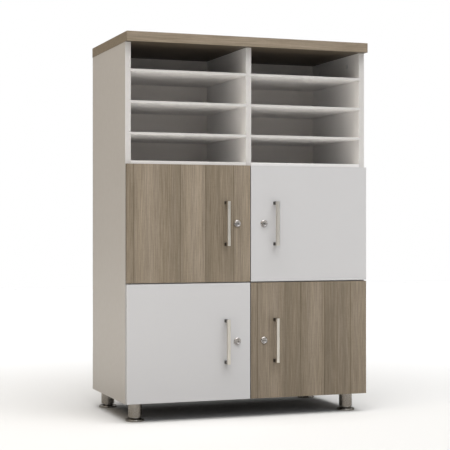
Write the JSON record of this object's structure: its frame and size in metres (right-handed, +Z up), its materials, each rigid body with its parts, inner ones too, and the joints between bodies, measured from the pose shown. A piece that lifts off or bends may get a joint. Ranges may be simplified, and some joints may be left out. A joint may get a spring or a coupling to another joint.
{
  "type": "mailroom cabinet with pigeonholes and lockers",
  "caption": "Free-standing mailroom cabinet: open pigeonholes above lockable locker doors on cup hinges, under a thick top, on round levelling feet.",
  "frame": {"origin": "on the floor, under the middle of the overall width and depth, handles included", "axes": "+X to the right seen from the front, +Y towards the back, +Z up"},
  "size_m": [0.802, 0.448, 1.186],
  "materials": {
    "white_laminate": "satin white laminate with matching edging",
    "oak_laminate": "matt greige oak-grain laminate",
    "handle_nickel": "satin nickel",
    "lock_chrome": "satin chrome",
    "lock_steel": "fine turned steel",
    "hinge_nickel": "nickel-plated pressed steel",
    "zinc_plate": "bright zinc plate",
    "foot_steel": "satin brushed steel",
    "cover_white": "white fitting covers",
    "beech": "plain beech",
    "bumper_clear": "translucent soft pad"
  },
  "bodies": {
    "root": {"left_side_panel": "white_laminate", "right_side_panel": "white_laminate", "centre_divider": "white_laminate", "bottom_panel": "white_laminate", "top_panel": "oak_laminate", "back_panel": "white_laminate", "cam_fittings": "cover_white", "connector_bolts": "zinc_plate", "dowels": "beech", "hinge_arms": "hinge_nickel", "hinge_plates": "zinc_plate", "door_bumpers": "bumper_clear", "foot_columns": "foot_steel", "foot_bolts": "zinc_plate", "deck_left": "white_laminate", "deck_right": "white_laminate", "mid_shelf_left": "white_laminate", "mid_shelf_right": "white_laminate", "mail_shelf_left_1": "white_laminate", "mail_shelf_left_2": "white_laminate", "mail_shelf_left_3": "white_laminate", "mail_shelf_right_1": "white_laminate", "mail_shelf_right_2": "white_laminate", "mail_shelf_right_3": "white_laminate"},
    "front_left_foot": {"levelling_foot_front_left": "foot_steel"},
    "front_right_foot": {"levelling_foot_front_right": "foot_steel"},
    "rear_left_foot": {"levelling_foot_rear_left": "foot_steel"},
    "rear_right_foot": {"levelling_foot_rear_right": "foot_steel"},
    "upper_left_links": {"hinge_links_upper_left": "hinge_nickel"},
    "upper_left_door": {"door_upper_left": "oak_laminate", "handle_upper_left": "handle_nickel", "handle_screws_upper_left": "zinc_plate", "lock_body_upper_left": "lock_chrome", "hinge_cups_upper_left": "hinge_nickel"},
    "upper_left_lock": {"lock_plug_upper_left": "lock_steel", "lock_cam_upper_left": "zinc_plate"},
    "upper_right_links": {"hinge_links_upper_right": "hinge_nickel"},
    "upper_right_door": {"door_upper_right": "white_laminate", "handle_upper_right": "handle_nickel", "handle_screws_upper_right": "zinc_plate", "lock_body_upper_right": "lock_chrome", "hinge_cups_upper_right": "hinge_nickel"},
    "upper_right_lock": {"lock_plug_upper_right": "lock_steel", "lock_cam_upper_right": "zinc_plate"},
    "lower_left_links": {"hinge_links_lower_left": "hinge_nickel"},
    "lower_left_door": {"door_lower_left": "white_laminate", "handle_lower_left": "handle_nickel", "handle_screws_lower_left": "zinc_plate", "lock_body_lower_left": "lock_chrome", "hinge_cups_lower_left": "hinge_nickel"},
    "lower_left_lock": {"lock_plug_lower_left": "lock_steel", "lock_cam_lower_left": "zinc_plate"},
    "lower_right_links": {"hinge_links_lower_right": "hinge_nickel"},
    "lower_right_door": {"door_lower_right": "oak_laminate", "handle_lower_right": "handle_nickel", "handle_screws_lower_right": "zinc_plate", "lock_body_lower_right": "lock_chrome", "hinge_cups_lower_right": "hinge_nickel"},
    "lower_right_lock": {"lock_plug_lower_right": "lock_steel", "lock_cam_lower_right": "zinc_plate"}
  },
  "joints": [
    {"name": "front_left_foot_extend", "type": "slide", "parent": "root", "child": "front_left_foot", "axis": [0, 0, -1], "range_m": [0, 0.015]},
    {"name": "front_right_foot_extend", "type": "slide", "parent": "root", "child": "front_right_foot", "axis": [0, 0, -1], "range_m": [0, 0.015]},
    {"name": "rear_left_foot_extend", "type": "slide", "parent": "root", "child": "rear_left_foot", "axis": [0, 0, -1], "range_m": [0, 0.015]},
    {"name": "rear_right_foot_extend", "type": "slide", "parent": "root", "child": "rear_right_foot", "axis": [0, 0, -1], "range_m": [0, 0.015]},
    {"name": "upper_left_door_swing", "type": "hinge", "parent": "upper_left_links", "child": "upper_left_door", "pos_m": [-0.3895, -0.181, 0.60562], "axis": [0, 0, -1], "range_deg": [0, 136.5]},
    {"name": "upper_left_link_swing", "type": "hinge", "parent": "root", "child": "upper_left_links", "pos_m": [-0.368, -0.173, 0.60562], "axis": [0, 0, 1], "range_deg": [0, 32]},
    {"name": "upper_left_lock_turn", "type": "hinge", "parent": "upper_left_door", "child": "upper_left_lock", "pos_m": [-0.0445, -0.176, 0.60562], "axis": [0, -1, 0], "range_deg": [0, 90]},
    {"name": "upper_right_door_swing", "type": "hinge", "parent": "upper_right_links", "child": "upper_right_door", "pos_m": [0.3895, -0.181, 0.60562], "axis": [0, 0, 1], "range_deg": [0, 136.5]},
    {"name": "upper_right_link_swing", "type": "hinge", "parent": "root", "child": "upper_right_links", "pos_m": [0.368, -0.173, 0.60562], "axis": [0, 0, -1], "range_deg": [0, 32]},
    {"name": "upper_right_lock_turn", "type": "hinge", "parent": "upper_right_door", "child": "upper_right_lock", "pos_m": [0.0445, -0.176, 0.60562], "axis": [0, 1, 0], "range_deg": [0, 90]},
    {"name": "lower_left_door_swing", "type": "hinge", "parent": "lower_left_links", "child": "lower_left_door", "pos_m": [-0.3895, -0.181, 0.24038], "axis": [0, 0, -1], "range_deg": [0, 136.5]},
    {"name": "lower_left_link_swing", "type": "hinge", "parent": "root", "child": "lower_left_links", "pos_m": [-0.368, -0.173, 0.24038], "axis": [0, 0, 1], "range_deg": [0, 32]},
    {"name": "lower_left_lock_turn", "type": "hinge", "parent": "lower_left_door", "child": "lower_left_lock", "pos_m": [-0.0445, -0.176, 0.24038], "axis": [0, -1, 0], "range_deg": [0, 90]},
    {"name": "lower_right_door_swing", "type": "hinge", "parent": "lower_right_links", "child": "lower_right_door", "pos_m": [0.3895, -0.181, 0.24038], "axis": [0, 0, 1], "range_deg": [0, 136.5]},
    {"name": "lower_right_link_swing", "type": "hinge", "parent": "root", "child": "lower_right_links", "pos_m": [0.368, -0.173, 0.24038], "axis": [0, 0, -1], "range_deg": [0, 32]},
    {"name": "lower_right_lock_turn", "type": "hinge", "parent": "lower_right_door", "child": "lower_right_lock", "pos_m": [0.0445, -0.176, 0.24038], "axis": [0, 1, 0], "range_deg": [0, 90]}
  ],
  "couplings": [
    {"joint": "upper_left_link_swing", "follows": "upper_left_door_swing", "ratio": 0.23077},
    {"joint": "upper_right_link_swing", "follows": "upper_right_door_swing", "ratio": 0.23077},
    {"joint": "lower_left_link_swing", "follows": "lower_left_door_swing", "ratio": 0.23077},
    {"joint": "lower_right_link_swing", "follows": "lower_right_door_swing", "ratio": 0.23077}
  ]
}
